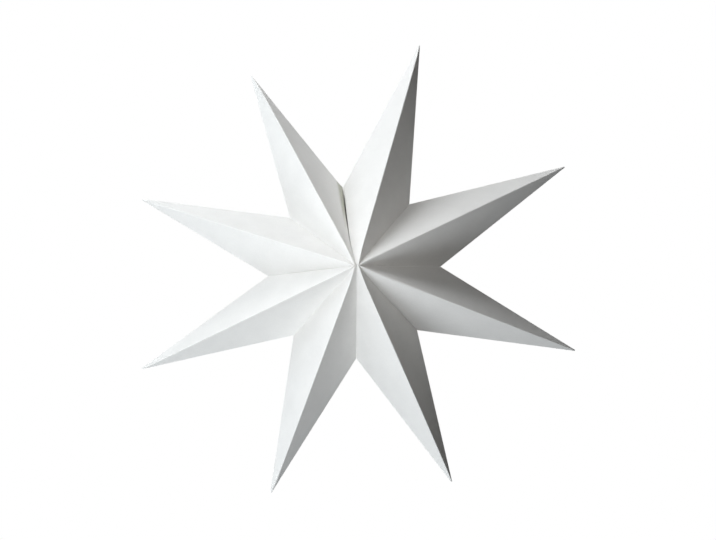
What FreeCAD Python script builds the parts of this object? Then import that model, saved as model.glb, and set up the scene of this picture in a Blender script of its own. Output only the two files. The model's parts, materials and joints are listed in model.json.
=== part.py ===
import FreeCAD, Part
import os
import Sketcher

# An eight-pointed star folded from card, which hangs with its seam straight up.
#
# Each point is one folded sheet: two front faces that meet in a ridge, two back faces that
# meet in another, two side creases from the tip to the notches, and a flap turned inwards
# along each of its four valley edges. A glue lap inside the point closes the sheet along one
# side crease. Seven pairs of neighbours are glued flap to flap. The eighth pair is the seam:
# hook-and-loop dots hold it shut near the middle and let go when the star is folded flat. A
# hanging hole is punched through both of its flaps.
#
# The star's frame: its middle plane is XZ, its front faces -Y and the seam is on +Z. The
# origin is where its axis crosses the middle plane. A bearing is an angle from the seam,
# clockwise as seen from the front.
# A point's own frame: X to its tip, Z to the front and Y towards the point before it.

POINTS = 8
SPACING = 360 / POINTS

# Driving sizes in millimetres.
SIZES = {
    "tip_reach": 300,      # star's axis to where a point's creases would meet
    "notch_reach": 110.4,  # star's axis to a notch
    "half_depth": 88,      # middle plane to where the ridges would meet
    "card": 0.4,           # thickness of the card
    "fold_inside": 0.1,    # inner radius of every fold
    "lap_width": 10,       # glue lap inside each point
    "lap_from_tip": 60,    # where the creases would meet at the tip to the lap's end
    "lap_from_notch": 8,   # notch to the lap's other end
    "flap_width": 15,      # glue flaps
    "mitre_gap": 1,        # between a front and a back flap, near the notch
    "mitre_root": 3,       # left whole between that gap and the notch
    "seam_gape": 2,        # the seam's width at its notch, from nothing at the star's axis
    "dot_diameter": 10,    # fastening dots in the seam
    "dot_reach": 70,       # star's axis to the dots, along the seam
    "hole_diameter": 4,    # hanging hole
    "hole_inset": 12,      # seam's notch to the hole's centre
}

# What the folds need at the two ends of a ridge, in outer radii of a fold.
TIP_FOLDS = 9              # trimmed off each tip
CORE_FOLDS = 6             # kept clear round the star's axis

# How each point of the hand-opened star stands: degrees clockwise of even spacing, and
# millimetres of reach more than the rest.
OPENING = {
    1: (0.5, 10),
    2: (2.5, 10),
    3: (3.3, 6),
    4: (3.8, -1),
    5: (4.3, 3),
    6: (4.1, -2),
    7: (2.8, -13),
    8: (1.7, -13),
}

BEFORE, AFTER = 1, -1      # a point's two sides, as the sign of its own Y
FRONT, BACK = -1, 1        # the star's two faces, as the sign of the star's Y

doc = FreeCAD.newDocument("Star")


def fill_sheet():
    """Put every driving size in the spreadsheet, under its own name."""
    sheet = doc.addObject("Spreadsheet::Sheet", "Sizes")
    rows = dict(SIZES)
    for number, (turn, extra) in OPENING.items():
        rows[f"turn_{number}"] = turn
        rows[f"extra_{number}"] = extra
    for row, (name, value) in enumerate(rows.items(), start=1):
        sheet.set(f"A{row}", name)
        sheet.set(f"B{row}", str(value))
        sheet.setAlias(f"B{row}", name)
    doc.recompute()


# Sizes that follow from the sheet, as expressions.

FOLD_OUTSIDE = "(Sizes.card + Sizes.fold_inside)"
TIP_TRIM = f"({TIP_FOLDS} * {FOLD_OUTSIDE})"
CORE_TRIM = f"({CORE_FOLDS} * {FOLD_OUTSIDE})"


def reach(number):
    """Star's axis to where a point's creases would meet."""
    return f"(Sizes.tip_reach + Sizes.extra_{number})"


def notch(number, side):
    """Star's axis to a point's notch, which lies further out between two long points."""
    neighbour = (number - 1 - side) % POINTS + 1
    both = f"({reach(number)} + {reach(neighbour)})"
    return f"(Sizes.notch_reach * {both} / (2 * Sizes.tip_reach))"


def at_seam(number, side):
    return (number, side) in ((1, BEFORE), (POINTS, AFTER))


SEAM_NOTCH = notch(1, BEFORE)
SEAM_SLOPE = f"(Sizes.seam_gape / 2 / {SEAM_NOTCH})"


def bearing(number):
    """Bearing of a point's tip."""
    return f"({(number - 0.5) * SPACING} + Sizes.turn_{number})"


def valley(number):
    """Bearing of the flaps after a point: midway to the next, and half a gape off the seam."""
    if number == 0:
        return f"(atan({SEAM_SLOPE}) / 1 deg)"
    if number == POINTS:
        return f"(360 - atan({SEAM_SLOPE}) / 1 deg)"
    return f"(({bearing(number)} + {bearing(number + 1)}) / 2)"


def half_angle(number, side):
    """Angle between a point's middle and its flaps on one side."""
    if side == BEFORE:
        return f"({bearing(number)} - {valley(number - 1)})"
    return f"({valley(number)} - {bearing(number)})"


def tip_angle(number, side):
    """Angle between a point's middle and its side crease."""
    edge, angle = notch(number, side), half_angle(number, side)
    return f"(atan({edge} * sin({angle}) / ({reach(number)} - {edge} * cos({angle}))) / 1 deg)"


def seam_angle(number):
    """Angle between the seam and the middle of a point beside it."""
    if number == 1:
        return bearing(1)
    return f"(360 - {bearing(number)})"


def flap_depth(edge):
    """How far a flap reaches in from its valley fold, measured along the star's axis."""
    return f"(Sizes.flap_width * sqrt(1 + (Sizes.half_depth / {edge})^2))"


# Sketches and features.

def plane_of(body, role):
    return next(item for item in body.Origin.OriginFeatures if item.Role == role)


def new_sketch(body, name, role):
    sketch = body.newObject("Sketcher::SketchObject", name)
    sketch.AttachmentSupport = [(plane_of(body, role), "")]
    sketch.MapMode = "FlatFace"
    return sketch


def turn_about_z(sketch, angle, out="0"):
    """Turn a sketch on the XZ plane about Z, and set it some way out along X."""
    turned = f"placement(vector({out}; 0; 0); vector(0; 1; 0); {angle})"
    sketch.setExpression("AttachmentOffset", turned)


def bind(sketch, constraint, expression):
    index = sketch.addConstraint(constraint)
    sketch.setExpression(f"Constraints[{index}]", expression)


def outline(body, name, role, corners):
    """A closed polygon whose corners are pairs of expressions."""
    sketch = new_sketch(body, name, role)
    places = []
    for corner in corners:
        across, up = (float(sketch.evalExpression(item)) for item in corner)
        places.append(FreeCAD.Vector(across, up, 0))
    count = len(places)
    for index, place in enumerate(places):
        sketch.addGeometry(Part.LineSegment(place, places[(index + 1) % count]))
    for index in range(count):
        sketch.addConstraint(Sketcher.Constraint("Coincident", index, 2, (index + 1) % count, 1))
    for index, (corner, place) in enumerate(zip(corners, places)):
        bind(sketch, Sketcher.Constraint("DistanceX", index, 1, place.x), corner[0])
        bind(sketch, Sketcher.Constraint("DistanceY", index, 1, place.y), corner[1])
    return sketch


def disc(body, name, role, centre, diameter):
    """A circle whose centre and diameter are expressions."""
    sketch = new_sketch(body, name, role)
    across, up, width = (float(sketch.evalExpression(item)) for item in (*centre, diameter))
    place = FreeCAD.Vector(across, up, 0)
    sketch.addGeometry(Part.Circle(place, FreeCAD.Vector(0, 0, 1), width / 2))
    bind(sketch, Sketcher.Constraint("DistanceX", 0, 3, across), centre[0])
    bind(sketch, Sketcher.Constraint("DistanceY", 0, 3, up), centre[1])
    bind(sketch, Sketcher.Constraint("Diameter", 0, width), diameter)
    return sketch


def cut(body, sketch, depth=None):
    """Cut a sketch's outline to both sides of its plane, to a depth in all or through all."""
    pocket = body.newObject("PartDesign::Pocket", f"Cut{sketch.Name}")
    pocket.Profile = sketch
    pocket.Midplane = True
    if depth is None:
        pocket.Type = "ThroughAll"
    else:
        pocket.Type = "Length"
        pocket.setExpression("Length", depth)
    doc.recompute()
    return pocket


def fold_edges(shape):
    """The edges between two card faces: ridges, side creases and valley folds."""
    names = []
    for index, edge in enumerate(shape.Edges, start=1):
        first, last = (vertex.Point for vertex in edge.Vertexes)
        long_enough = edge.Length > doc.Sizes.flap_width
        along_axis = abs(last.z - first.z) > 0.999 * edge.Length
        if long_enough and not along_axis:
            names.append(f"Edge{index}")
    return names


def core_face(shape):
    """The face nearest the star's axis, where the folded sheet is open."""
    numbered = enumerate(shape.Faces, start=1)
    index, _ = min(numbered, key=lambda item: item[1].CenterOfMass.x)
    return f"Face{index}"


# The pieces.

def solid_point(body, number):
    """The outside of a point: a sector between its flaps, under two roofs front and back."""
    tip = f"({reach(number)} - {TIP_TRIM})"
    slopes = [f"{side} * tan({half_angle(number, side)})" for side in (AFTER, BEFORE)]
    corners = [(CORE_TRIM, f"{slopes[0]} * {CORE_TRIM}"), (tip, f"{slopes[0]} * {tip}"),
               (tip, f"{slopes[1]} * {tip}"), (CORE_TRIM, f"{slopes[1]} * {CORE_TRIM}")]
    sector = body.newObject("PartDesign::Pad", f"Sector{number}")
    sector.Profile = outline(body, f"Plan{number}", "XY_Plane", corners)
    sector.Midplane = True
    sector.setExpression("Length", "2 * Sizes.half_depth")
    doc.recompute()
    for side, name in ((BEFORE, "RoofBefore"), (AFTER, "RoofAfter")):
        taper = tip_angle(number, side)
        width = f"({reach(number)} * sin({taper}))"
        high = "2 * Sizes.half_depth"
        outside = f"-{reach(number)}"
        beyond = [("0", "0"), (f"2 * {width}", high), (outside, high),
                  (outside, f"-{high}"), (f"2 * {width}", f"-{high}")]
        roof = outline(body, f"{name}{number}", "XZ_Plane", beyond)
        turn_about_z(roof, f"-{side} * (90 + {taper})", reach(number))
        crisp = cut(body, roof)
    return crisp


def fold_card(body, number, crisp):
    """Round every fold and hollow the point to the card's thickness, open at the axis."""
    folds = body.newObject("PartDesign::Fillet", f"Folds{number}")
    folds.Base = (crisp, fold_edges(crisp.Shape))
    folds.setExpression("Radius", FOLD_OUTSIDE)
    body.Tip = folds
    doc.recompute()
    shell = body.newObject("PartDesign::Thickness", f"Card{number}")
    shell.Base = (folds, [core_face(folds.Shape)])
    shell.Reversed = True
    shell.setExpression("Value", "Sizes.card")
    body.Tip = shell
    doc.recompute()


def add_lap(body, number):
    """The glue lap that closes the sheet, on the inside of a back face along its side crease.

    Its ends are mitred, and it is sunk halfway into the face's card so that the two are one.
    """
    edge, taper = notch(number, BEFORE), tip_angle(number, BEFORE)
    crease = f"({reach(number)} - {edge} * cos({half_angle(number, BEFORE)})) / cos({taper})"
    slope = f"(atan(Sizes.half_depth / ({reach(number)} * sin({taper}))) / 1 deg)"
    first, last = "Sizes.lap_from_tip", f"({crease} - Sizes.lap_from_notch)"
    corners = [(first, FOLD_OUTSIDE), (last, FOLD_OUTSIDE),
               (f"{last} - Sizes.lap_width", "Sizes.lap_width"),
               (f"{first} + Sizes.lap_width", "Sizes.lap_width")]
    lap = outline(body, f"LapOutline{number}", "XY_Plane", corners)
    along_crease = f"rotation(vector(0; 0; 1); 180 - {taper})"
    up_the_face = f"rotation(vector(1; 0; 0); -{slope})"
    on_the_face = f"placement(vector({reach(number)}; 0; 0); {along_crease} * {up_the_face})"
    sunk = "Sizes.card / 2"
    inwards = f"placement(vector(0; 0; {sunk}); rotation(vector(0; 0; 1); 0))"
    lap.setExpression("AttachmentOffset", f"{on_the_face} * {inwards}")
    pad = body.newObject("PartDesign::Pad", f"Lap{number}")
    pad.Profile = lap
    pad.setExpression("Length", f"Sizes.card + {sunk}")
    doc.recompute()


def cut_flaps(body, number, side, name):
    """Cut the middle out of a side wall, which leaves a front and a back flap.

    Glued flaps are mitred where they meet at the notch. Those of the seam lap there, to
    carry the hanging hole.
    """
    edge = notch(number, side)
    depth = f"(Sizes.half_depth - {flap_depth(edge)})"
    nose = f"({edge} * {depth} / Sizes.half_depth)"
    if at_seam(number, side):
        corners = [("0", depth), ("0", f"-{depth}"), (nose, "0")]
    else:
        gap = "Sizes.mitre_gap / 2"
        root = f"({edge} - Sizes.mitre_root)"
        corners = [("0", depth), ("0", f"-{depth}"), (nose, f"-{gap}"), (root, f"-{gap}"),
                   (root, gap), (nose, gap)]
    window = outline(body, f"{name}{number}", "XZ_Plane", corners)
    turn_about_z(window, f"{side} * {half_angle(number, side)}")
    cut(body, window, "4 * Sizes.card")


def punch_hole(body, number, side):
    """The hanging hole, square to the seam."""
    centre = (f"{SEAM_NOTCH} - Sizes.hole_inset", "0")
    hole = disc(body, f"HangingHole{number}", "XZ_Plane", centre, "Sizes.hole_diameter")
    turn_about_z(hole, f"{side} * {seam_angle(number)}")
    cut(body, hole, "2 * (Sizes.seam_gape + Sizes.card)")


def make_point(number):
    """One folded point, turned to its bearing with its front to the star's front."""
    body = doc.addObject("PartDesign::Body", f"Point{number}")
    body.Label = f"point_{number}"
    fold_card(body, number, solid_point(body, number))
    add_lap(body, number)
    for side, name in ((BEFORE, "WindowBefore"), (AFTER, "WindowAfter")):
        cut_flaps(body, number, side, name)
        if at_seam(number, side):
            punch_hole(body, number, side)
    upright = "rotation(vector(1; 0; 0); 90)"
    turn = f"rotation(vector(0; 0; 1); 90 - {bearing(number)})"
    body.setExpression("Placement", f"placement(vector(0; 0; 0); {upright} * {turn})")
    return body


def make_dot(word, face, half, side):
    """Half of a fastening dot, tapered to fill one side of the gaping seam."""
    body = doc.addObject("PartDesign::Body", f"{word}{half}Dot".title())
    body.Label = f"{word}_{half}_dot"
    fold = f"Sizes.half_depth * (1 - Sizes.dot_reach / {SEAM_NOTCH})"
    depth = f"({fold} - {flap_depth(SEAM_NOTCH)} / 2)"
    centre = (f"{face} * {depth}", "Sizes.dot_reach")
    round_dot = disc(body, f"{body.Name}Disc", "YZ_Plane", centre, "Sizes.dot_diameter")
    pad = body.newObject("PartDesign::Pad", f"{body.Name}Pad")
    pad.Profile = round_dot
    pad.Reversed = side == BEFORE
    pad.setExpression("Length", "Sizes.seam_gape / 2")
    doc.recompute()

    low = "(Sizes.dot_reach - Sizes.dot_diameter)"
    high = "(Sizes.dot_reach + Sizes.dot_diameter)"
    sign = -side
    beyond = [(f"{sign} * {low} * {SEAM_SLOPE}", low),
              (f"{sign} * Sizes.seam_gape", low),
              (f"{sign} * Sizes.seam_gape", high),
              (f"{sign} * {high} * {SEAM_SLOPE}", high)]
    cut(body, outline(body, f"{body.Name}Taper", "XZ_Plane", beyond))
    return body


def write_parts(pieces):
    """Check every object and every piece, then write the pieces."""
    doc.recompute()
    for item in doc.Objects:
        if "Invalid" in item.State or "Error" in item.State:
            raise RuntimeError(f"{item.Name}: {item.getStatusString()}")
    os.makedirs("parts", exist_ok=True)
    for piece in pieces:
        shape = piece.Shape
        if shape.isNull() or not shape.isValid() or len(shape.Solids) != 1:
            raise RuntimeError(f"{piece.Label} is not one valid solid")
        shape.exportStep(f"parts/{piece.Label}.step")
        print(f"{piece.Label}: {shape.Volume:.1f} mm3, {len(shape.Faces)} faces")


fill_sheet()
star = [make_point(number) for number in OPENING]
for word, face in (("front", FRONT), ("back", BACK)):
    star.append(make_dot(word, face, "hook", AFTER))
    star.append(make_dot(word, face, "loop", BEFORE))
write_parts(star)
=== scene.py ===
"""Folds a hollow star from white card, with its seam fasteners, and sets it in a plain studio."""

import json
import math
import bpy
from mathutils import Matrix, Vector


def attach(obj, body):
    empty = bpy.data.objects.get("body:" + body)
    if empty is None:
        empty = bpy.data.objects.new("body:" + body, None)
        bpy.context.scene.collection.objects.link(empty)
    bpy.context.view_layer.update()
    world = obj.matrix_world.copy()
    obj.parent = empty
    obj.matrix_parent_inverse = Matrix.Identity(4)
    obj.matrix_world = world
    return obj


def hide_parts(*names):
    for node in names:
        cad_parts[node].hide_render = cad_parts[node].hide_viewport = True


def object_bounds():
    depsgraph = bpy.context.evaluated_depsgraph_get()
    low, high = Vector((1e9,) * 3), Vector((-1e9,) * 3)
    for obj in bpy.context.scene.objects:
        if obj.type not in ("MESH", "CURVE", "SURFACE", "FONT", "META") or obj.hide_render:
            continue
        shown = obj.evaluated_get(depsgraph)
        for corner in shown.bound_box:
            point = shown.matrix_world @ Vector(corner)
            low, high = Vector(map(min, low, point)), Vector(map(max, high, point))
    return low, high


bl_info = {
    "name": "Folded Card Star",
    "version": (1, 0, 0),
    "blender": (4, 5, 0),
    "location": "3D View > Sidebar > Card Star",
    "description": "Folds a hollow star from white card and sets it in a plain studio",
    "category": "Object",
}

import bmesh
import bpy
from bpy.props import FloatProperty, FloatVectorProperty, IntProperty, PointerProperty
from mathutils import Matrix, Quaternion, Vector, noise

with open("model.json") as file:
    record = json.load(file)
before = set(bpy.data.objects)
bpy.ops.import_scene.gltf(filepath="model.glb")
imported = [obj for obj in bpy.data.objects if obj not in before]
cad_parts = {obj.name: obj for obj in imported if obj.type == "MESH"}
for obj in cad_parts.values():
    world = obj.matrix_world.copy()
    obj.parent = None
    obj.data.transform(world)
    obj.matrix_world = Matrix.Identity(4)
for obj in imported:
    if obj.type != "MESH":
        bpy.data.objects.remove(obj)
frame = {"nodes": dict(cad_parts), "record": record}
BUILT_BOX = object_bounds()

MM = 0.001
POINTS = sorted(name for name in frame["nodes"] if name.startswith("point_"))
FRONT, BACK = -1, 1        # the star's two faces, as the sign of Y
BEFORE, AFTER = 1, -1      # a point's two sides, in clockwise order from the seam
INSIDE = 1 / 3             # share of the way to a point's tip at which it is hollow
NOTHING = 1e-7             # a length or a share as small as this is none
WELD = 1e-6                # vertices as near as this are one

# The seam runs between the last point and the first, and the star opens like a book about it,
# so its points gather in two halves on either side of a shallow channel through the middle.
# The channel's folds are those valleys that it runs along, as a point's number and side.
FIRST, LAST = POINTS[0], POINTS[-1]
HALF_COUNT = len(POINTS) // 2
CHANNEL_FOLDS = {(1, BEFORE), (HALF_COUNT, AFTER), (HALF_COUNT + 1, BEFORE), (len(POINTS), AFTER)}

# How a point's flat faces are told apart, by the parts of their normals.
END_ON = 0.9               # least part along the point, in a face across its end
SLOPED = 0.15              # least part along Y, in a front or a back face
UPRIGHT = 0.01             # most part along Y, in a flap
FACING_DIGITS = 2          # decimals to which the normals of one plane agree

# How far some ridges lean clockwise off the middle of their points, as creased by hand, and
# the shares of a ridge's length over which the lean grows at its foot and fades at the tip.
LEAN = {1: 1 * MM, 4: -0.8 * MM, 5: -1.3 * MM, 6: -1 * MM, 8: 2 * MM}
LEAN_GROWS = 0.7
LEAN_FADES = 0.05

# The mesh of a sheet.
ARC_STEPS = 8              # steps round a fold
ARM_SHARE = 0.42           # most of the way to the next fold that a fold's arc may take up
FLAP_STEPS = 4             # steps across a flap
ROW_CROWDING = 1.25        # power that crowds the inner rows towards the star's middle
CORE_GAP = 0.02 * MM       # from the star's axis to the first row
HOLE_STEPS = 32            # steps round the hanging hole
PUNCH_LENGTH = 12 * MM     # long enough to go through a flap

# How the card departs from flat faces.
BOW_WAVES = 14             # cells of the faces' noise in a metre
BOW_APART = 7.3            # cells from one point's noise to the next one's
BOW_SHAPE = 27 / 4         # makes x * (1 - x) ** 2 peak at 1, a third of the way out
STEP_ABOVE = 14 * MM       # how far above the notch the seam's step fades out
CLOSE_BELOW = 32 * MM      # how far below the notch the closing of its gape fades out
SEAM_CLOSE = 0.3           # share of the gape that the bent card closes at the notch
WALL_BULGE = 0.55          # share that the wall between its folds closes as well
SEAM_SHADE_ACROSS = 3         # how much faster than the bend the painted seam shade sets in
SEAM_SHADE_ALONG = 2          # the same along the seam


# Sizes and finishes that a user may change.

class StarFolds(bpy.types.PropertyGroup):
    """How the card is folded."""
    card: FloatProperty(
        name="Card", description="Thickness of the card",
        default=0.4 * MM, min=0.1 * MM, max=1 * MM, unit="LENGTH", precision=5)
    fold_radius: FloatProperty(
        name="Fold radius", description="Outer radius of a creased fold",
        default=1 * MM, min=0.1 * MM, max=3 * MM, unit="LENGTH", precision=5)
    seam_bow: FloatProperty(
        name="Seam bow", description="How far the seam bows over to the last point",
        default=3 * MM, min=0, max=8 * MM, unit="LENGTH", precision=5)
    seam_step: FloatProperty(
        name="Seam step", description="How far the last point lies behind the first at the notch",
        default=6 * MM, min=0, max=12 * MM, unit="LENGTH", precision=5)
    seam_bend: FloatProperty(
        name="Seam bend", description="Width of the soft bend beside the seam's notch",
        default=6.5 * MM, min=1 * MM, max=20 * MM, unit="LENGTH", precision=5)
    seam_bend_length: FloatProperty(
        name="Seam bend length", description="How far the soft bend runs down from the notch",
        default=62 * MM, min=5 * MM, max=100 * MM, unit="LENGTH", precision=5)
    flap_width: FloatProperty(
        name="Flap width", description="Width of the glue flaps inside the star",
        default=15 * MM, min=2 * MM, max=30 * MM, unit="LENGTH", precision=5)
    mitre_gap: FloatProperty(
        name="Mitre gap", description="Gap between a front and a back flap at a notch",
        default=1 * MM, min=0, max=5 * MM, unit="LENGTH", precision=5)
    aim: FloatProperty(
        name="Aim", description="How far off the axis the straight folds of one half aim",
        default=0.3 * MM, min=0, max=6 * MM, unit="LENGTH", precision=5)
    channel: FloatProperty(
        name="Channel", description="Half the width of the channel between the star's two halves",
        default=2.5 * MM, min=0, max=6 * MM, unit="LENGTH", precision=5)
    channel_reach: FloatProperty(
        name="Channel reach", description="How far out from the middle the channel's sides curve",
        default=32 * MM, min=1 * MM, max=150 * MM, unit="LENGTH", precision=5)
    dimple: FloatProperty(
        name="Dimple", description="How far the ridges sink where they meet",
        default=2 * MM, min=0, max=10 * MM, unit="LENGTH", precision=5)
    dimple_reach: FloatProperty(
        name="Dimple reach", description="How far out from the middle the ridges sink",
        default=8 * MM, min=1 * MM, max=50 * MM, unit="LENGTH", precision=5)
    bow: FloatProperty(
        name="Bow", description="How far the card bows between its folds",
        default=0.5 * MM, min=0, max=4 * MM, unit="LENGTH", precision=5)
    rows_inside: IntProperty(
        name="Rows inside", description="Rows of the mesh from the star's middle to the notches",
        default=30, min=4, max=80)
    rows_outside: IntProperty(
        name="Rows outside", description="Rows of the mesh from the notches to the tips",
        default=46, min=4, max=120)
    columns: IntProperty(
        name="Columns", description="Columns of the mesh across one face",
        default=18, min=2, max=40)


class CardFinish(bpy.types.PropertyGroup):
    """The white card's surface."""
    colour: FloatVectorProperty(
        name="Colour", description="Colour of the card", subtype="COLOR",
        default=(0.91, 0.905, 0.89), min=0, max=1, size=3)
    cloud: FloatProperty(
        name="Cloud", description="How unevenly the pulp lies in the card",
        default=0.02, min=0, max=0.3, subtype="FACTOR")
    fibre_width: FloatProperty(
        name="Fibre width", description="Width of a bundle of fibres at the surface",
        default=1.6 * MM, min=0.2 * MM, max=6 * MM, unit="LENGTH", precision=5)
    fibre_height: FloatProperty(
        name="Fibre height", description="How far the fibres stand out",
        default=0.05 * MM, min=0, max=0.3 * MM, unit="LENGTH", precision=6)
    fibre_shade: FloatProperty(
        name="Fibre shade", description="How much darker the card is between its fibres",
        default=0.03, min=0, max=0.3, subtype="FACTOR")
    # Paler folds: partly the fibres that a fold crushes, partly a painted highlight where the
    # ridges catch the light.
    crushed_pale_and_highlight: FloatProperty(
        name="Crushed and painted highlight", description="How much paler the card is where a fold crushes it",
        default=0.025, min=0, max=0.1, subtype="FACTOR")
    pulp: FloatVectorProperty(
        name="Pulp", description="Shade of the raw pulp that a cut edge shows",
        subtype="COLOR", default=(0.97, 0.96, 0.92), min=0, max=1, size=3)
    # Painted shade: the olive-grey tone in the soft bend beside the seam's notch stands in for
    # the shadow that falls there.
    painted_seam_shade: FloatVectorProperty(
        name="Painted seam shade", description="Shade of the card where fingers open the seam",
        subtype="COLOR", default=(0.66, 0.67, 0.6), min=0, max=1, size=3)
    roughness: FloatProperty(
        name="Roughness", description="Roughness of the card",
        default=0.85, min=0, max=1, subtype="FACTOR")
    gloss: FloatProperty(
        name="Gloss", description="Specular level of the card",
        default=0.12, min=0, max=1, subtype="FACTOR")


class DotFinish(bpy.types.PropertyGroup):
    """The hook-and-loop dots that hold the seam."""
    hook_colour: FloatVectorProperty(
        name="Hook colour", description="Colour of the moulded hook halves", subtype="COLOR",
        default=(0.85, 0.85, 0.84), min=0, max=1, size=3)
    loop_colour: FloatVectorProperty(
        name="Loop colour", description="Colour of the woven loop halves", subtype="COLOR",
        default=(0.87, 0.87, 0.86), min=0, max=1, size=3)
    shade: FloatProperty(
        name="Shade", description="How dark the dots are between their hooks and loops",
        default=0.7, min=0, max=1, subtype="FACTOR")
    hook_pitch: FloatProperty(
        name="Hook pitch", description="Distance between two hooks",
        default=0.9 * MM, min=0.3 * MM, max=3 * MM, unit="LENGTH", precision=5)
    hook_height: FloatProperty(
        name="Hook height", description="How far the hooks stand out",
        default=0.3 * MM, min=0, max=1 * MM, unit="LENGTH", precision=5)
    thread_pitch: FloatProperty(
        name="Thread pitch", description="Distance between two threads of the loops' ground",
        default=0.4 * MM, min=0.1 * MM, max=2 * MM, unit="LENGTH", precision=5)
    tuft_width: FloatProperty(
        name="Tuft width", description="Width of a tuft of fine loops",
        default=0.7 * MM, min=0.1 * MM, max=3 * MM, unit="LENGTH", precision=5)
    loop_height: FloatProperty(
        name="Loop height", description="How far the loops stand out",
        default=0.15 * MM, min=0, max=1 * MM, unit="LENGTH", precision=5)


class Studio(bpy.types.PropertyGroup):
    """Camera, lamps, floor and surroundings."""
    azimuth: FloatProperty(
        name="Azimuth", description="Camera's bearing round the star",
        default=math.radians(-4.15), subtype="ANGLE")
    elevation: FloatProperty(
        name="Elevation", description="Camera's height over the star's middle, as an angle",
        default=math.radians(-4.8), subtype="ANGLE")
    roll: FloatProperty(
        name="Roll", description="Camera's turn about its own line of sight",
        default=math.radians(-6.6), subtype="ANGLE")
    distance: FloatProperty(
        name="Distance", description="From the camera to the star's middle",
        default=3, min=0.8, max=20, unit="LENGTH")
    lens: FloatProperty(
        name="Lens", description="Focal length in millimetres",
        default=118.4, min=20, max=400)
    lamp_power: FloatProperty(
        name="Lamp power", description="Power in watts, of which each lamp gets its own part",
        default=30, min=0, max=500)
    fill: FloatProperty(
        name="Fill", description="Strength of the light from all round",
        default=0.01, min=0, max=2)
    floor_drop: FloatProperty(
        name="Floor drop", description="From the lowest tip down to the floor",
        default=0.9, min=0, max=5, unit="LENGTH")
    floor_width: FloatProperty(
        name="Floor width", description="Width of the square floor",
        default=20, min=1, max=40, unit="LENGTH")
    floor_glow: FloatProperty(
        name="Floor glow", description="How pale the floor is to the eye, over its lit colour",
        default=0.92, min=0, max=1, subtype="FACTOR")
    floor_tone: FloatProperty(
        name="Floor tone", description="The floor's own tone, which its shadows take away",
        default=0.14, min=0, max=1, subtype="FACTOR")
    floor_bounce: FloatProperty(
        name="Floor bounce", description="Share of its light that the floor sends up to the star",
        default=0.02, min=0, max=1, subtype="FACTOR")
    shift_right: FloatProperty(
        name="Shift right", description="How far the frame stands right of the line of sight",
        default=0.0078, min=-0.5, max=0.5, precision=4)
    shift_up: FloatProperty(
        name="Shift up", description="How far the frame stands over the line of sight",
        default=0.0025, min=-0.5, max=0.5, precision=4)


# What the frame says about a point's folds.

def meet(*planes):
    """The point where three planes (normal, distance) cross."""
    rows = Matrix([normal for normal, _ in planes])
    return rows.inverted() @ Vector([distance for _, distance in planes])


def outer_planes(node):
    """A point's outer flat faces and the way it points.

    The faces are {(face, side) or side: (normal, distance)}, where a side alone is its flaps.
    """
    mesh = frame["nodes"][node].data
    far = max((v.co for v in mesh.vertices), key=lambda co: math.hypot(co.x, co.z))
    out = Vector((far.x, 0, far.z)).normalized()
    before = Vector((-out.z, 0, out.x))
    inside = Vector((far.x, 0, far.z)) * INSIDE
    sums = {}
    for polygon in mesh.polygons:
        normal = polygon.normal
        if normal.dot(polygon.center - inside) < 0 or abs(normal.dot(out)) > END_ON:
            continue
        side = BEFORE if normal.dot(before) > 0 else AFTER
        if abs(normal.y) > SLOPED:
            kind = (FRONT if normal.y < 0 else BACK, side)
        elif abs(normal.y) < UPRIGHT:
            kind = side
        else:
            continue
        facing = tuple(round(value, FACING_DIGITS) for value in normal)
        total = sums.setdefault(kind, {}).setdefault(facing, [0, Vector(), 0])
        total[0] += polygon.area
        total[1] += polygon.area * normal
        total[2] += polygon.area * normal.dot(polygon.center)
    planes = {}
    for kind, facings in sums.items():
        area, normal, distance = max(facings.values(), key=lambda total: total[0])
        planes[kind] = (normal.normalized(), distance / area)
    return planes, out


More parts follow.
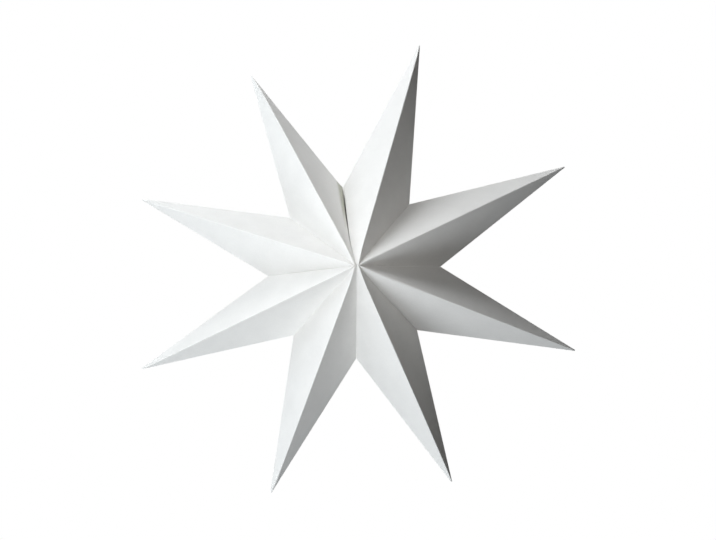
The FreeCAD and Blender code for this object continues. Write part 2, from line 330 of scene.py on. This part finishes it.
class Point:
    """One folded point: where its creases run, worked out from its flat faces."""

    def __init__(self, node, folds):
        planes, self.out = outer_planes(node)
        self.before = Vector((-self.out.z, 0, self.out.x))
        self.node = node
        self.number = POINTS.index(node) + 1
        self.folds = folds
        self.tip = meet(planes[FRONT, BEFORE], planes[FRONT, AFTER], planes[BACK, BEFORE])
        self.notch = {side: meet(planes[FRONT, side], planes[BACK, side], planes[side])
                      for side in (BEFORE, AFTER)}
        apex = meet(planes[FRONT, BEFORE], planes[FRONT, AFTER], planes[BEFORE])
        self.depth = abs(apex.y)
        # Shares of the way to the tip: where the card ends, and where its notches lie.
        mesh = frame["nodes"][node].data
        self.trim = max(v.co.dot(self.out) for v in mesh.vertices) / self.tip.dot(self.out)
        shares = [self.notch[side].dot(self.out) / self.tip.dot(self.out) for side in self.notch]
        self.shoulder = sum(shares) / len(shares)

    def at_seam(self, side):
        return (self.node, side) in ((FIRST, BEFORE), (LAST, AFTER))

    def from_middle(self, face, side, end, share):
        """A place on the fold that runs from the star's middle to its other end.

        Near the middle it curves off to its own half's side of the channel, and sinks.
        """
        half = 1 if self.number <= HALF_COUNT else -1
        along_channel = (self.number, side) in CHANNEL_FOLDS
        aim = 0 if along_channel else half * self.folds.aim
        place = Vector((aim, face * self.depth, 0)).lerp(end, share)
        out = share * end.length
        if not along_channel:
            wide = self.folds.channel - self.folds.aim
            place.x += half * wide * max(0, 1 - out / self.folds.channel_reach) ** 2
        sink = max(0, 1 - out / self.folds.dimple_reach) ** 2
        place.y -= face * self.folds.dimple * sink
        return place

    def ridge(self, face, share):
        """A place on the ridge, which leans off its point's middle towards the tip."""
        place = self.from_middle(face, None, self.tip, share)
        grown = min(1, share / LEAN_GROWS, (1 - share) / LEAN_FADES)
        return place - self.before * (LEAN.get(self.number, 0) * grown)

    def straight_edge(self, face, side, share):
        """A place on a face's outer edge, the valley and then the side crease, with no bow."""
        if share <= self.shoulder:
            return self.from_middle(face, side, self.notch[side], share / self.shoulder)
        along = (share - self.shoulder) / (1 - self.shoulder)
        return self.notch[side].lerp(self.tip, along)

    def edge(self, face, side, share):
        """A place on a face's outer edge, which bows where it is the seam's."""
        place = self.straight_edge(face, side, share)
        if self.at_seam(side) and share < self.shoulder:
            along = share / self.shoulder
            place.x -= self.folds.seam_bow * BOW_SHAPE * along * (1 - along) ** 2
        return place

    def flap_end(self, face, side, share):
        """The free edge of the flap that turns in from the valley."""
        fold = self.straight_edge(face, side, share)
        notch = self.notch[side].length
        width = self.folds.flap_width * math.hypot(1, self.depth / notch)
        middle = 0 if self.at_seam(side) else self.folds.mitre_gap / 2
        depth = abs(fold.y)
        left = min(depth, max(depth - width, middle))
        return Vector((fold.x, face * left, fold.z))


# Folding the card.

def round_corner(corner, first, second, radius, steps):
    """Points round a fold, from the arm towards first to the arm towards second."""
    arms = [first - corner, second - corner]
    lengths = [arm.length for arm in arms]
    if min(lengths) < NOTHING:
        return [corner.copy() for _ in range(steps + 1)]
    ways = [arm.normalized() for arm in arms]
    half = ways[0].angle(ways[1]) / 2
    tangent = min(radius / math.tan(half), ARM_SHARE * min(lengths))
    radius = tangent * math.tan(half)
    middle = (ways[0] + ways[1]).normalized()
    across = (ways[1] - ways[0]).normalized()
    centre = corner + middle * (radius / math.sin(half))
    turn = math.pi / 2 - half
    places = []
    for step in range(steps + 1):
        angle = turn * (2 * step / steps - 1)
        places.append(centre + radius * (across * math.sin(angle) - middle * math.cos(angle)))
    return places


class Sheet:
    """Collects the outer surface of a point, with how creased each vertex is and its share of the
    painted seam shade.
    """

    def __init__(self):
        self.mesh = bmesh.new()
        self.crease = self.mesh.verts.layers.float.new("crease")
        # How much of the painted shade beside the seam each vertex takes.
        self.painted_seam_shade = self.mesh.verts.layers.float.new("painted_seam_shade")

    def grid(self, rows):
        """Faces between rows of (place, crease) pairs."""
        made = []
        for row in rows:
            verts = []
            for place, crease in row:
                vert = self.mesh.verts.new(place)
                vert[self.crease] = crease
                verts.append(vert)
            made.append(verts)
        for lower, upper in zip(made, made[1:]):
            for index in range(len(lower) - 1):
                self.mesh.faces.new((lower[index], lower[index + 1],
                                     upper[index + 1], upper[index]))


def face_row(point, face, side, share):
    """Half a row of a sheet, from the ridge to the middle of the fold at its outer edge."""
    ridge = point.ridge(face, share)
    edge = point.edge(face, side, share)
    other = point.edge(face, -side, share)
    radius = point.folds.fold_radius
    over = round_corner(ridge, other, edge, radius, ARC_STEPS)[ARC_STEPS // 2:]
    if share < point.shoulder:
        beyond = point.flap_end(face, side, share)
    else:
        beyond = point.ridge(-face, share)
    under = round_corner(edge, ridge, beyond, radius, ARC_STEPS)[:ARC_STEPS // 2 + 1]
    row = [(place, 1) for place in over]
    columns = point.folds.columns
    for column in range(1, columns):
        closer = (1 - math.cos(math.pi * column / columns)) / 2
        row.append((over[-1].lerp(under[0], closer), 0))
    row += [(place, 1) for place in under]
    return row


def flap_row(point, face, side, share):
    """A row of a flap, from the middle of the valley fold to the flap's free edge."""
    edge = point.edge(face, side, share)
    end = point.flap_end(face, side, share)
    ridge = point.ridge(face, share)
    arc = round_corner(edge, ridge, end, point.folds.fold_radius, ARC_STEPS)
    row = [(place, 1) for place in arc[ARC_STEPS // 2:]]
    row += [(arc[-1].lerp(end, step / FLAP_STEPS), 0) for step in range(1, FLAP_STEPS + 1)]
    return row


def row_shares(point):
    """Shares of the way from the star's middle to the tip at which the rows lie."""
    start = CORE_GAP / point.tip.length
    rows = point.folds.rows_inside
    inside = [start + (point.shoulder - start) * (row / rows) ** ROW_CROWDING
              for row in range(rows + 1)]
    rows = point.folds.rows_outside
    outside = [point.shoulder + (point.trim - point.shoulder) * row / rows
               for row in range(1, rows + 1)]
    return inside, outside


def fold_sheet(point):
    """The outer surface of one point as a mesh."""
    sheet = Sheet()
    inside, outside = row_shares(point)
    for face in (FRONT, BACK):
        for side in (BEFORE, AFTER):
            sheet.grid([face_row(point, face, side, share) for share in inside + outside])
            flap = [flap_row(point, face, side, share) for share in inside[:-1]]
            notch = face_row(point, face, side, inside[-1])[-1]
            flap.append([notch] * len(flap[0]))
            sheet.grid(flap)
    bmesh.ops.remove_doubles(sheet.mesh, verts=sheet.mesh.verts, dist=WELD)
    bmesh.ops.dissolve_degenerate(sheet.mesh, edges=sheet.mesh.edges, dist=NOTHING)
    bmesh.ops.recalc_face_normals(sheet.mesh, faces=sheet.mesh.faces)
    return sheet


def face_outwards(mesh, inside):
    """Turn the whole sheet over if its faces look at a place inside it."""
    total = sum(face.calc_area() * face.normal.dot(face.calc_center_median() - inside)
                for face in mesh.faces)
    if total < 0:
        bmesh.ops.reverse_faces(mesh, faces=mesh.faces)


def bow_faces(point, sheet):
    """Let the card bow a little between its folds, as card does."""
    sheet.mesh.normal_update()
    apart = Vector((point.number * BOW_APART, 0, 0))
    moves = []
    for vert in sheet.mesh.verts:
        flat = 1 - vert[sheet.crease]
        wave = noise.noise(vert.co * BOW_WAVES + apart)
        moves.append(vert.normal * (flat * point.folds.bow * wave))
    for vert, move in zip(sheet.mesh.verts, moves):
        vert.co += move


def step_seam(point, sheet):
    """Bend the last point's card softly beside the seam's notch.

    It steps back behind the first point's card, and the wall of the seam between the front fold
    and the back one bulges towards that card. Its bend also takes a painted shade, strongest
    beside the notch.
    """
    folds = point.folds
    corner = point.notch[AFTER]
    gape = 2 * abs(corner.x)
    for vert in sheet.mesh.verts:
        down = corner.z - vert.co.z
        fade = 1 - down / folds.seam_bend_length if down > 0 else 1 + down / STEP_ABOVE
        beside = 1 - (corner.x - vert.co.x) / folds.seam_bend
        if fade <= 0 or beside <= 0:
            continue
        bent = fade * min(1, beside) ** 2
        closing = max(0, 1 - down / CLOSE_BELOW) if down > 0 else fade
        fold = point.depth * max(0, down) / corner.length
        inner = 1 - min(1, abs(vert.co.y) / fold) if fold > NOTHING else 1
        vert.co.x += gape * closing * min(1, beside) ** 2 * (SEAM_CLOSE + WALL_BULGE * inner)
        vert.co.y += BACK * folds.seam_step * bent
        # Painted shade in the soft bend beside the notch, strongest at the seam's edge.
        vert[sheet.painted_seam_shade] = min(1, SEAM_SHADE_ACROSS * beside) * min(1, SEAM_SHADE_ALONG * fade)


def add_object(name, data):
    """A new object in the scene."""
    made = bpy.data.objects.new(name, data)
    bpy.context.scene.collection.objects.link(made)
    return made


def solid_card(name, sheet, thickness):
    """Give a sheet its thickness inwards, and return it as an object.

    Its cut edges are in the second material slot until mark_cut_edges is done with them.
    """
    mesh = bpy.data.meshes.new(name)
    sheet.mesh.to_mesh(mesh)
    sheet.mesh.free()
    mesh.materials.append(None)
    mesh.materials.append(None)
    piece = add_object(name, mesh)
    modifier = piece.modifiers.new("Card", "SOLIDIFY")
    modifier.thickness = thickness
    modifier.offset = -1
    modifier.use_even_offset = True
    modifier.use_rim = True
    modifier.material_offset_rim = 1
    return piece


def apply_modifiers(piece):
    """Keep what the modifiers make, and drop them."""
    graph = bpy.context.evaluated_depsgraph_get()
    made = bpy.data.meshes.new_from_object(piece.evaluated_get(graph))
    piece.modifiers.clear()
    piece.data = made
    for polygon in made.polygons:
        polygon.use_smooth = True


def mark_cut_edges(mesh):
    """Say in the "cut" attribute which faces are cut edges, and use one material slot."""
    cut = mesh.attributes.new("cut", "FLOAT", "FACE")
    cut.data.foreach_set("value", [float(face.material_index) for face in mesh.polygons])
    for face in mesh.polygons:
        face.material_index = 0
    mesh.materials.clear()


def punch(piece, mount):
    """Punch the hanging hole, straight through along its axis."""
    radius = mount["dims"]["r_mm"] * MM
    cutter_mesh = bpy.data.meshes.new("punch")
    shape = bmesh.new()
    bmesh.ops.create_cone(shape, cap_ends=True, segments=HOLE_STEPS, radius1=radius,
                          radius2=radius, depth=PUNCH_LENGTH)
    turn = Vector((0, 0, 1)).rotation_difference(Vector(mount["axis"]))
    place = Matrix.Translation(Vector(mount["pos_m"]))
    shape.transform(place @ turn.to_matrix().to_4x4())
    shape.to_mesh(cutter_mesh)
    shape.free()
    cut = cutter_mesh.attributes.new("cut", "FLOAT", "FACE")
    cut.data.foreach_set("value", [1.0] * len(cutter_mesh.polygons))
    cutter = add_object("punch", cutter_mesh)
    modifier = piece.modifiers.new("Punch", "BOOLEAN")
    modifier.object = cutter
    modifier.operation = "DIFFERENCE"
    modifier.solver = "EXACT"
    apply_modifiers(piece)
    bpy.data.objects.remove(cutter)


# Finishes.

# Where each finish turns from one look to the other.
PULP_DARK, PULP_PALE = 0.3, 0.7            # values of the clouds' noise
FIBRE_GAP, FIBRE_TOP = 0.45, 0.7           # heights between the fibres and on top of them
CREASE_SHINE = 0.2                         # how much less rough the card is on a fold
HOOK_CROWN, HOOK_FOOT = 0.18, 0.42         # from a hook's middle, over the hooks' pitch
SHINY_CROWN = (0.15, 0.28)                 # the same, with the plastic's roughness there
DULL_FOOT = (0.45, 0.55)
PILE_FOOT, PILE_TOP = 0.4, 0.9             # heights in the loops' pile
THREAD_HEIGHT = 0.35                       # height of the threads over that of the pile

FIBRES = "Matted fibres"   # the node group that the card and the loops share
FIBRE_TURNS = (0.5, 2.1)   # angles of the fibres' two layers, in radians
FIBRE_TILT = 0.7           # how far a layer also tilts, over its angle
FIBRE_STRETCH = 4          # length of a bundle of fibres over its width
CLOUD_FINENESS = 0.06      # width of a bundle over that of a cloud in the pulp
WAVE_SCALE = math.pi / 10  # scale at which a wave texture's bands are one unit apart

# Sockets of a mix node, by number, where it mixes colours.
MIX_FACTOR, MIX_FIRST, MIX_SECOND, MIX_RESULT = 0, 6, 7, 2


def new_group(name, inputs, outputs):
    """A shader node group with its sockets: (name, type, default) and (name, type)."""
    group = bpy.data.node_groups.new(name, "ShaderNodeTree")
    for label, kind, default in inputs:
        socket = group.interface.new_socket(label, in_out="INPUT", socket_type=kind)
        if default is not None:
            socket.default_value = default
    for label, kind in outputs:
        group.interface.new_socket(label, in_out="OUTPUT", socket_type=kind)
    return group, group.nodes.new("NodeGroupInput"), group.nodes.new("NodeGroupOutput")


def put(tree, kind, **settings):
    """A node with its settings: sockets by name through `inputs`, the rest as attributes."""
    node = tree.nodes.new(kind)
    sockets = settings.pop("inputs", {})
    for name, value in settings.items():
        setattr(node, name, value)
    for socket, value in sockets.items():
        node.inputs[socket].default_value = value
    return node


def calculated(tree, operation, *values):
    """What a math node makes of its values, each of them a socket or a number."""
    node = put(tree, "ShaderNodeMath", operation=operation)
    for socket, value in zip(node.inputs, values):
        if isinstance(value, bpy.types.NodeSocket):
            tree.links.new(value, socket)
        else:
            socket.default_value = value
    return node.outputs[0]


def mapped(tree, value, start, end):
    """A value socket mapped from one (value, result) pair to another, and held beyond both."""
    node = put(tree, "ShaderNodeMapRange", inputs={"From Min": start[0], "To Min": start[1],
                                                   "From Max": end[0], "To Max": end[1]})
    tree.links.new(value, node.inputs["Value"])
    return node.outputs["Result"]


def coloured(tree, value, start, end, interpolation="LINEAR"):
    """A value socket turned from one (value, colour) pair to another."""
    node = tree.nodes.new("ShaderNodeValToRGB")
    node.color_ramp.interpolation = interpolation
    for element, (position, colour) in zip(node.color_ramp.elements, (start, end)):
        element.position = position
        element.color = (*colour, 1)
    tree.links.new(value, node.inputs["Fac"])
    return node.outputs["Color"]


def shaded(tree, colour, mask, shade, blend="MULTIPLY"):
    """A colour socket, shaded as far as the mask says."""
    mix = put(tree, "ShaderNodeMix", data_type="RGBA", blend_type=blend)
    mix.inputs[MIX_SECOND].default_value = (*shade, 1)
    tree.links.new(mask, mix.inputs[MIX_FACTOR])
    tree.links.new(colour, mix.inputs[MIX_FIRST])
    return mix.outputs[MIX_RESULT]


def raise_surface(tree, shader, height, distance, invert=False):
    """Relief on a shader, of a height socket times a distance."""
    bump = put(tree, "ShaderNodeBump", invert=invert,
               inputs={"Strength": 1, "Distance": distance})
    tree.links.new(height, bump.inputs["Height"])
    tree.links.new(bump.outputs["Normal"], shader.inputs["Normal"])


def fibre_group():
    """Fibres matted at a surface: two layers of stretched noise that cross at an angle."""
    group, given, result = new_group(
        FIBRES,
        [("Vector", "NodeSocketVector", None), ("Width", "NodeSocketFloat", 1.6 * MM)],
        [("Height", "NodeSocketFloat"), ("Cloud", "NodeSocketFloat")])
    link = group.links.new
    scale = calculated(group, "DIVIDE", 1, given.outputs["Width"])
    layers = []
    for turn in FIBRE_TURNS:
        mapping = put(group, "ShaderNodeMapping", vector_type="TEXTURE",
                      inputs={"Rotation": (turn, FIBRE_TILT * turn, turn),
                              "Scale": (FIBRE_STRETCH, 1, 1)})
        fibres = put(group, "ShaderNodeTexNoise",
                     inputs={"Detail": 4, "Roughness": 0.6, "Distortion": 0.4})
        link(given.outputs["Vector"], mapping.inputs["Vector"])
        link(mapping.outputs["Vector"], fibres.inputs["Vector"])
        link(scale, fibres.inputs["Scale"])
        layers.append(fibres.outputs["Fac"])
    cloud = put(group, "ShaderNodeTexNoise", inputs={"Detail": 3, "Roughness": 0.55})
    link(given.outputs["Vector"], cloud.inputs["Vector"])
    link(calculated(group, "MULTIPLY", scale, CLOUD_FINENESS), cloud.inputs["Scale"])
    link(calculated(group, "MAXIMUM", *layers), result.inputs["Height"])
    link(cloud.outputs["Fac"], result.inputs["Cloud"])
    return group


def new_material(name):
    """A material with an empty tree but its Principled shader and output."""
    material = bpy.data.materials.new(name)
    material.use_nodes = True
    tree = material.node_tree
    tree.nodes.clear()
    shader = tree.nodes.new("ShaderNodeBsdfPrincipled")
    output = tree.nodes.new("ShaderNodeOutputMaterial")
    tree.links.new(shader.outputs["BSDF"], output.inputs["Surface"])
    return material, tree, shader


def card_material(finish, fibres):
    """Uncoated white card: clouded pulp, matted fibres, folds made paler by crushing and by a
    painted highlight, painted shade beside the seam, and raw cut edges.
    """
    material, tree, shader = new_material("white_card")
    link = tree.links.new
    place = tree.nodes.new("ShaderNodeTexCoord")
    grain = put(tree, "ShaderNodeGroup", node_tree=fibres, inputs={"Width": finish.fibre_width})
    link(place.outputs["Object"], grain.inputs["Vector"])

    base = Vector(finish.colour)
    colour = coloured(tree, grain.outputs["Cloud"], (PULP_DARK, base * (1 - finish.cloud)),
                      (PULP_PALE, base * (1 + finish.cloud)))
    between = mapped(tree, grain.outputs["Height"], (FIBRE_GAP, 1), (FIBRE_TOP, 0))
    colour = shaded(tree, colour, between, [1 - finish.fibre_shade] * 3)

    masks = {}
    for name in ("crease", "painted_seam_shade", "cut"):
        masks[name] = put(tree, "ShaderNodeAttribute", attribute_name=name).outputs["Fac"]
    # Paler folds, partly from crushing and partly a painted highlight along them.
    colour = shaded(tree, colour, masks["crease"], base * (1 + finish.crushed_pale_and_highlight), "MIX")
    # Painted shade in the soft bend beside the seam's notch.
    colour = shaded(tree, colour, masks["painted_seam_shade"], finish.painted_seam_shade)
    colour = shaded(tree, colour, masks["cut"], finish.pulp)
    link(colour, shader.inputs["Base Color"])

    rough = mapped(tree, masks["crease"], (0, finish.roughness),
                   (1, finish.roughness - CREASE_SHINE))
    link(rough, shader.inputs["Roughness"])
    raise_surface(tree, shader, grain.outputs["Height"], finish.fibre_height)
    shader.inputs["Specular IOR Level"].default_value = finish.gloss
    return material


def hook_material(finish):
    """Moulded plastic set with rows of small hooks, glossy on their crowns."""
    material, tree, shader = new_material("moulded_hooks")
    place = tree.nodes.new("ShaderNodeTexCoord")
    rows = put(tree, "ShaderNodeTexVoronoi",
               inputs={"Randomness": 0.12, "Scale": 1 / finish.hook_pitch})
    tree.links.new(place.outputs["Object"], rows.inputs["Vector"])
    away = rows.outputs["Distance"]
    colour = Vector(finish.hook_colour)
    hooks = coloured(tree, away, (HOOK_CROWN, colour), (HOOK_FOOT, colour * finish.shade), "EASE")
    tree.links.new(hooks, shader.inputs["Base Color"])
    tree.links.new(mapped(tree, away, SHINY_CROWN, DULL_FOOT), shader.inputs["Roughness"])
    raise_surface(tree, shader, away, finish.hook_height, invert=True)
    return material


def loop_material(finish, fibres):
    """A pile of fine loops over woven threads.

    The threads' waves run along X and Z, so a face that is square to X hardly shows them.
    """
    material, tree, shader = new_material("woven_loops")
    place = tree.nodes.new("ShaderNodeTexCoord")
    pile = put(tree, "ShaderNodeGroup", node_tree=fibres, inputs={"Width": finish.tuft_width})
    tree.links.new(place.outputs["Object"], pile.inputs["Vector"])
    threads = []
    for direction in ("X", "Z"):
        wave = put(tree, "ShaderNodeTexWave", bands_direction=direction,
                   inputs={"Scale": WAVE_SCALE / finish.thread_pitch, "Distortion": 0.6,
                           "Detail": 2})
        tree.links.new(place.outputs["Object"], wave.inputs["Vector"])
        threads.append(wave.outputs["Fac"])
    ground = calculated(tree, "MULTIPLY", *threads)
    nap = calculated(tree, "MULTIPLY_ADD", ground, THREAD_HEIGHT, pile.outputs["Height"])
    colour = Vector(finish.loop_colour)
    shade = coloured(tree, nap, (PILE_FOOT, colour * finish.shade), (PILE_TOP, colour))
    tree.links.new(shade, shader.inputs["Base Color"])
    raise_surface(tree, shader, nap, finish.loop_height)
    shader.inputs["Roughness"].default_value = 0.95
    shader.inputs["Sheen Weight"].default_value = 0.4
    return material


# Soft square lamps that all look at the star's middle: bearing and height in degrees, distance
# and size in metres, power over the studio's lamp power, and tint. Five stand in an arc on the
# left like a tall window, and the last three light the back.
COOL = (0.95, 1, 1.035)
PLAIN = (1, 1, 1)
WARM = (1.02, 1, 0.965)
LAMPS = {
    "window_low": (-45, -60, 1, 0.6, 0.136, COOL),
    "window_sill": (-60, -30, 1, 0.6, 0.055, COOL),
    "window_side": (-90, 0, 1, 0.6, 0.048, COOL),
    "window_head": (-60, 30, 1, 0.6, 0.092, COOL),
    "window_high": (-60, 60, 1, 0.6, 0.088, COOL),
    "overhead": (0, 85, 1, 0.6, 0.125, PLAIN),
    "front_left": (-45, 0, 0.5, 0.3, 0.01, PLAIN),
    "front": (0, 0, 0.5, 0.3, 0.02, WARM),
    "back_left": (-150, 20, 1.5, 0.6, 0.19, COOL),
    "back_right": (160, 30, 1.5, 0.6, 0.18, COOL),
    "behind": (180, 0, 1.5, 0.6, 0.2, PLAIN),
}


# The operators, one for each group of like pieces and one for the stage.

class CARDSTAR_OT_fold_points(bpy.types.Operator):
    """Fold the eight points from card, flaps and hanging hole included"""
    bl_idname = "card_star.fold_points"
    bl_label = "Fold the points"

    def execute(self, context):
        folds, finish = context.scene.star_folds, context.scene.card_finish
        material = card_material(finish, fibre_group())
        mounts = {mount["name"]: mount for mount in frame["record"]["mounts"]}
        for node in POINTS:
            point = Point(node, folds)
            sheet = fold_sheet(point)
            face_outwards(sheet.mesh, point.tip * INSIDE)
            bow_faces(point, sheet)
            if node == LAST:
                step_seam(point, sheet)
            piece = solid_card(f"folded_{node}", sheet, folds.card)
            apply_modifiers(piece)
            mark_cut_edges(piece.data)
            if point.at_seam(BEFORE) or point.at_seam(AFTER):
                punch(piece, mounts["hanging_hole"])
            piece.data.materials.clear()
            piece.data.materials.append(material)
            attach(piece, "root")
            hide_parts(node)
        return {"FINISHED"}


class CARDSTAR_OT_finish_dots(bpy.types.Operator):
    """Give the seam's hook-and-loop dots their moulded and woven surfaces"""
    bl_idname = "card_star.finish_dots"
    bl_label = "Finish the dots"

    def execute(self, context):
        finish = context.scene.dot_finish
        finishes = {"hook": hook_material(finish),
                    "loop": loop_material(finish, bpy.data.node_groups[FIBRES])}
        for name, node in frame["nodes"].items():
            if name.endswith("_dot"):
                kind = name.split("_")[-2]
                node.data.materials.clear()
                node.data.materials.append(finishes[kind])
        return {"FINISHED"}


class CARDSTAR_OT_set_stage(bpy.types.Operator):
    """Set the floor, the lamps, the pale surroundings and the camera"""
    bl_idname = "card_star.set_stage"
    bl_label = "Set the stage"

    def execute(self, context):
        studio = context.scene.studio
        set_view(context.scene)
        set_floor(studio)
        set_surroundings(context.scene, studio)
        set_lamps(studio)
        set_camera(context.scene, studio)
        return {"FINISHED"}


def set_view(scene):
    scene.view_settings.view_transform = "Standard"


def set_floor(studio):
    """A pale floor well below the hanging star."""
    low, _ = BUILT_BOX
    height = low.z - studio.floor_drop
    half = studio.floor_width / 2
    mesh = bpy.data.meshes.new("floor")
    corners = [(-half, -half, height), (half, -half, height),
               (half, half, height), (-half, half, height)]
    mesh.from_pydata(corners, [], [(0, 1, 2, 3)])
    floor = add_object("floor", mesh)
    material, tree, shader = new_material("pale_floor")
    seen = seen_ray(tree)
    tone = mapped(tree, seen, (0, studio.floor_bounce), (1, studio.floor_tone))
    tree.links.new(tone, shader.inputs["Base Color"])
    shader.inputs["Roughness"].default_value = 0.9
    shader.inputs["Specular IOR Level"].default_value = 0
    shader.inputs["Emission Color"].default_value = (1, 1, 1, 1)
    glow = calculated(tree, "MULTIPLY", seen, studio.floor_glow)
    tree.links.new(glow, shader.inputs["Emission Strength"])
    material.cycles.emission_sampling = "NONE"
    mesh.materials.append(material)


def seen_ray(tree):
    """1 for a ray from the camera, a reflection or a transmission, and 0 for light itself."""
    path = tree.nodes.new("ShaderNodeLightPath").outputs
    eye = calculated(tree, "MAXIMUM", path["Is Camera Ray"], path["Is Glossy Ray"])
    return calculated(tree, "MAXIMUM", eye, path["Is Transmission Ray"])


def set_surroundings(scene, studio):
    """White to the eye, and a plain weak light to the star."""
    world = bpy.data.worlds.new("surroundings")
    scene.world = world
    world.use_nodes = True
    tree = world.node_tree
    tree.nodes.clear()
    seen = put(tree, "ShaderNodeBackground", inputs={"Color": (1, 1, 1, 1), "Strength": 1})
    light = put(tree, "ShaderNodeBackground",
                inputs={"Color": (1, 1, 1, 1), "Strength": studio.fill})
    mix = tree.nodes.new("ShaderNodeMixShader")
    output = tree.nodes.new("ShaderNodeOutputWorld")
    link = tree.links.new
    link(seen_ray(tree), mix.inputs["Fac"])
    link(light.outputs[0], mix.inputs[1])
    link(seen.outputs[0], mix.inputs[2])
    link(mix.outputs[0], output.inputs["Surface"])


def look_at_middle(piece, bearing, height, distance, roll=0):
    """Stand a lamp or a camera off the star, looking at its middle."""
    way = Vector((math.sin(bearing) * math.cos(height), -math.cos(bearing) * math.cos(height),
                  math.sin(height)))
    piece.location = way * distance
    piece.rotation_mode = "QUATERNION"
    level = (-way).to_track_quat("-Z", "Y")
    piece.rotation_quaternion = level @ Quaternion((0, 0, 1), roll)


def set_lamps(studio):
    for name, (bearing, height, distance, size, power, tint) in LAMPS.items():
        lamp = bpy.data.lights.new(name, "AREA")
        lamp.shape = "SQUARE"
        lamp.size = size
        lamp.energy = power * studio.lamp_power
        lamp.color = tint
        piece = add_object(name, lamp)
        look_at_middle(piece, math.radians(bearing), math.radians(height), distance)
        piece.visible_camera = False


def set_camera(scene, studio):
    data = bpy.data.cameras.new("camera")
    data.lens = studio.lens
    data.shift_x = studio.shift_right
    data.shift_y = studio.shift_up
    camera = add_object("camera", data)
    look_at_middle(camera, studio.azimuth, studio.elevation, studio.distance, studio.roll)
    scene.camera = camera


class CARDSTAR_PT_panel(bpy.types.Panel):
    """Lists the star's operators and sizes"""
    bl_label = "Card Star"
    bl_idname = "CARDSTAR_PT_panel"
    bl_space_type = "VIEW_3D"
    bl_region_type = "UI"
    bl_category = "Card Star"

    def draw(self, context):
        for operator in OPERATORS:
            self.layout.operator(operator.bl_idname)
        for name in SETTINGS:
            group = getattr(context.scene, name)
            box = self.layout.box()
            for field in group.bl_rna.properties.keys():
                if field not in ("rna_type", "name"):
                    box.prop(group, field)


OPERATORS = (CARDSTAR_OT_fold_points, CARDSTAR_OT_finish_dots, CARDSTAR_OT_set_stage)
SETTINGS = {"star_folds": StarFolds, "card_finish": CardFinish, "dot_finish": DotFinish,
            "studio": Studio}


def register():
    for group in SETTINGS.values():
        bpy.utils.register_class(group)
    for name, group in SETTINGS.items():
        setattr(bpy.types.Scene, name, PointerProperty(type=group))
    for operator in OPERATORS:
        bpy.utils.register_class(operator)
    bpy.utils.register_class(CARDSTAR_PT_panel)


def unregister():
    bpy.utils.unregister_class(CARDSTAR_PT_panel)
    for operator in reversed(OPERATORS):
        bpy.utils.unregister_class(operator)
    for name, group in SETTINGS.items():
        delattr(bpy.types.Scene, name)
        bpy.utils.unregister_class(group)


def main():
    register()
    bpy.ops.card_star.fold_points()
    bpy.ops.card_star.finish_dots()
    bpy.ops.card_star.set_stage()


if __name__ == "__main__":
    main()
